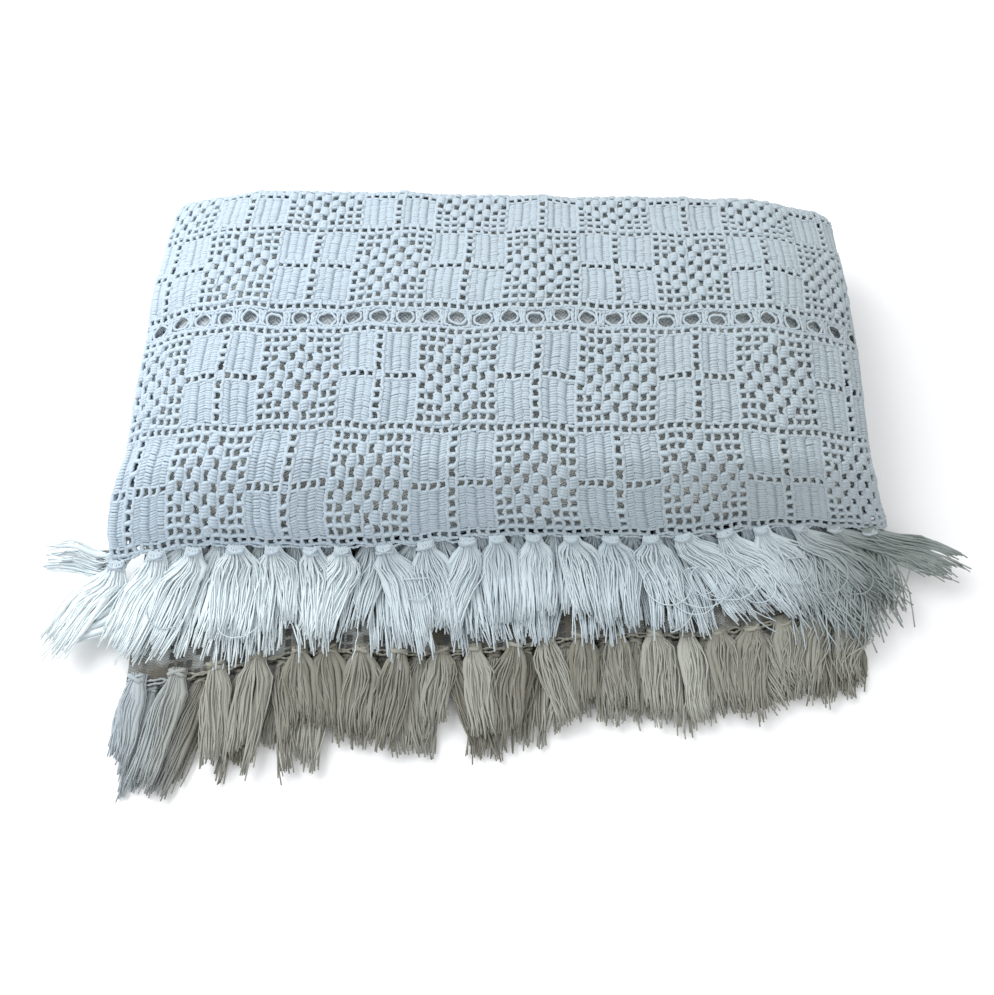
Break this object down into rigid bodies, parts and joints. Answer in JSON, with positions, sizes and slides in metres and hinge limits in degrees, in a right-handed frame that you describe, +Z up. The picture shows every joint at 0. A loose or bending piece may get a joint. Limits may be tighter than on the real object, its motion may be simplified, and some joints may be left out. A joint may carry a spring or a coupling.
{
  "type": "crochet bedspread",
  "caption": "Folded cotton filet crochet bedspread: a checkerboard of solid squares and mesh diamonds, eyelet joins between strips, and a knotted tassel fringe at both hems.",
  "frame": {"origin": "on the flat underside of the folded pile, below the middle of the pile's width", "axes": "+X along the hems to the right as seen from the front, +Y from the fringed front to the folded back, +Z up"},
  "size_m": [0.9642, 0.6845, 0.1511],
  "materials": {
    "cloth_cotton": "matt white cotton yarn, crocheted",
    "top_fringe_cotton": "matt white cotton yarn, cut ends",
    "lower_fringe_cotton": "matt white cotton yarn, cut ends"
  },
  "bodies": {
    "root": {"bedspread_cloth": "cloth_cotton", "top_hem_fringe": "top_fringe_cotton", "lower_hem_fringe": "lower_fringe_cotton"}
  },
  "joints": []
}
